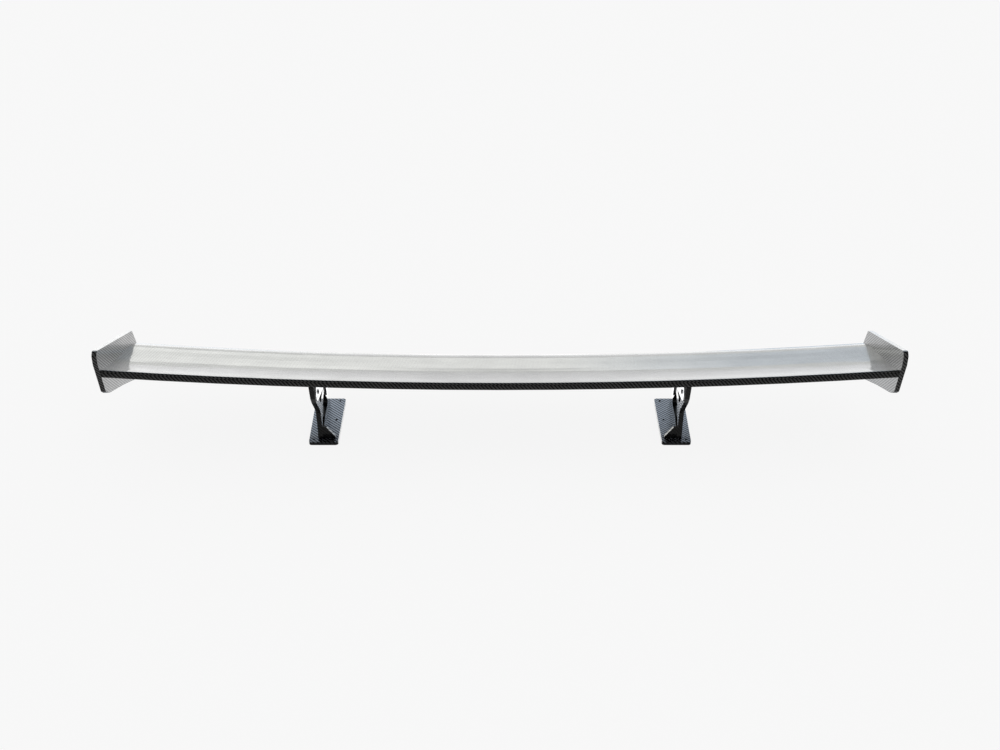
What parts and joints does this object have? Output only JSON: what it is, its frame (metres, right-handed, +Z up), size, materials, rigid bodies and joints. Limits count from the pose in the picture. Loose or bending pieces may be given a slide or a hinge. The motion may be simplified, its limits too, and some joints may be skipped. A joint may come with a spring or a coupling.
{
  "type": "racing rear wing",
  "caption": "Bowed carbon racing rear wing between two end plates, carried by two windowed uprights on screw-down feet, with a slotted angle adjuster.",
  "frame": {"origin": "centre of the overall box in X and Y, on the underside of the foot gaskets", "axes": "+X along the span towards the right-hand tip seen from behind, +Y towards the nose of the car, +Z up"},
  "size_m": [1.64, 0.2709, 0.2761],
  "materials": {
    "carbon_wing": "clear-coated twill carbon",
    "carbon_plate": "clear-coated twill carbon",
    "carbon_upright": "clear-coated twill carbon",
    "carbon_foot": "clear-coated twill carbon",
    "carbon_inner": "uncoated carbon laminate",
    "core": "machined high-density foam board",
    "bracket_metal": "satin machined",
    "black_screw": "black oxide",
    "bolt_steel": "stainless",
    "gasket_rubber": "matt"
  },
  "bodies": {
    "feet": {"upright_left": "carbon_upright", "upright_right": "carbon_upright", "gusset_left": "carbon_upright", "gusset_right": "carbon_upright", "foot_screws_left": "bolt_steel", "foot_screws_right": "bolt_steel", "foot_plate_left": "carbon_foot", "foot_plate_right": "carbon_foot", "foot_gasket_left": "gasket_rubber", "foot_gasket_right": "gasket_rubber", "pivot_bolts": "bolt_steel", "adjuster_bolts": "bolt_steel", "upright_inserts": "bolt_steel"},
    "wing": {"wing_upper_skin": "carbon_wing", "wing_lower_skin": "carbon_wing", "front_spar": "carbon_inner", "rear_spar": "carbon_inner", "centre_rib": "core", "hardpoint_left": "core", "hardpoint_right": "core", "end_rib_left": "core", "end_rib_right": "core", "end_plate_left": "carbon_plate", "end_plate_right": "carbon_plate", "end_plate_screws_left": "black_screw", "end_plate_screws_right": "black_screw", "wing_bracket_left": "bracket_metal", "wing_bracket_right": "bracket_metal", "bracket_screws_left": "black_screw", "bracket_screws_right": "black_screw"}
  },
  "joints": [
    {"name": "angle_of_attack", "type": "hinge", "parent": "feet", "child": "wing", "pos_m": [0, 0.0472, 0.0732], "axis": [-1, 0, 0], "range_deg": [0, 4]}
  ]
}
